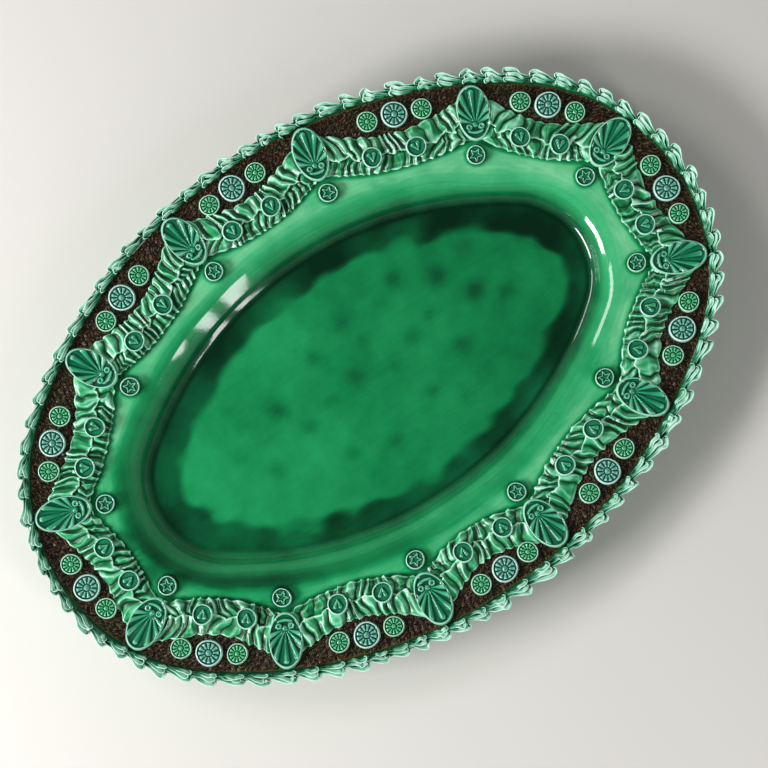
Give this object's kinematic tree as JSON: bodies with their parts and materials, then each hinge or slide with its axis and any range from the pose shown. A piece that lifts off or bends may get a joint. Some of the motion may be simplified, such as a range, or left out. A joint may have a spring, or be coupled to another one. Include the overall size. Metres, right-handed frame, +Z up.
{
  "type": "oval serving platter",
  "caption": "Large oval serving platter of green-glazed earthenware, with a frilled rim and a broad flange of pleated ribbon swags, oval plaques, rosettes and round buttons.",
  "frame": {"origin": "on the resting plane, under the middle of the platter", "axes": "+X along the oval's long axis, +Y along its short axis, +Z up"},
  "size_m": [0.49, 0.34, 0.0394],
  "materials": {
    "dish_glaze": "clear emerald lead glaze over pressed earthenware, high gloss, dark where it pools",
    "bare_clay": "unglazed buff earthenware, wiped and slightly rough",
    "brown_grit": "coarse grit under a thick dark brown glaze with ochre specks",
    "button_glaze": "green glaze, pale on the raised rims and dark in the recesses",
    "ribbon_glaze": "green glaze that breaks pale on the pleats' edges",
    "plaque_glaze": "blue-green glaze, lighter on the relief",
    "frill_glaze": "green glaze that breaks almost white on the thin clay edges",
    "rosette_glaze": "green and blue-green glaze, pale on the petals"
  },
  "bodies": {
    "root": {"body": "dish_glaze", "foot_ring": "bare_clay", "grit_band": "brown_grit", "heart_buttons": "button_glaze", "star_buttons": "button_glaze", "ribbon_swag_01": "ribbon_glaze", "ribbon_swag_02": "ribbon_glaze", "ribbon_swag_03": "ribbon_glaze", "ribbon_swag_04": "ribbon_glaze", "ribbon_swag_05": "ribbon_glaze", "ribbon_swag_06": "ribbon_glaze", "ribbon_swag_07": "ribbon_glaze", "ribbon_swag_08": "ribbon_glaze", "ribbon_swag_09": "ribbon_glaze", "ribbon_swag_10": "ribbon_glaze", "ribbon_swag_11": "ribbon_glaze", "ribbon_swag_12": "ribbon_glaze", "oval_plaque_01": "plaque_glaze", "oval_plaque_02": "plaque_glaze", "oval_plaque_03": "plaque_glaze", "oval_plaque_04": "plaque_glaze", "oval_plaque_05": "plaque_glaze", "oval_plaque_06": "plaque_glaze", "oval_plaque_07": "plaque_glaze", "oval_plaque_08": "plaque_glaze", "oval_plaque_09": "plaque_glaze", "oval_plaque_10": "plaque_glaze", "oval_plaque_11": "plaque_glaze", "oval_plaque_12": "plaque_glaze", "rim_frill_01": "frill_glaze", "rim_frill_02": "frill_glaze", "rim_frill_03": "frill_glaze", "rim_frill_04": "frill_glaze", "rim_frill_05": "frill_glaze", "rim_frill_06": "frill_glaze", "rim_frill_07": "frill_glaze", "rim_frill_08": "frill_glaze", "rim_frill_09": "frill_glaze", "rim_frill_10": "frill_glaze", "rim_frill_11": "frill_glaze", "rim_frill_12": "frill_glaze", "rosettes_01": "rosette_glaze", "rosettes_02": "rosette_glaze", "rosettes_03": "rosette_glaze", "rosettes_04": "rosette_glaze", "rosettes_05": "rosette_glaze", "rosettes_06": "rosette_glaze", "rosettes_07": "rosette_glaze", "rosettes_08": "rosette_glaze", "rosettes_09": "rosette_glaze", "rosettes_10": "rosette_glaze", "rosettes_11": "rosette_glaze", "rosettes_12": "rosette_glaze"}
  },
  "joints": []
}
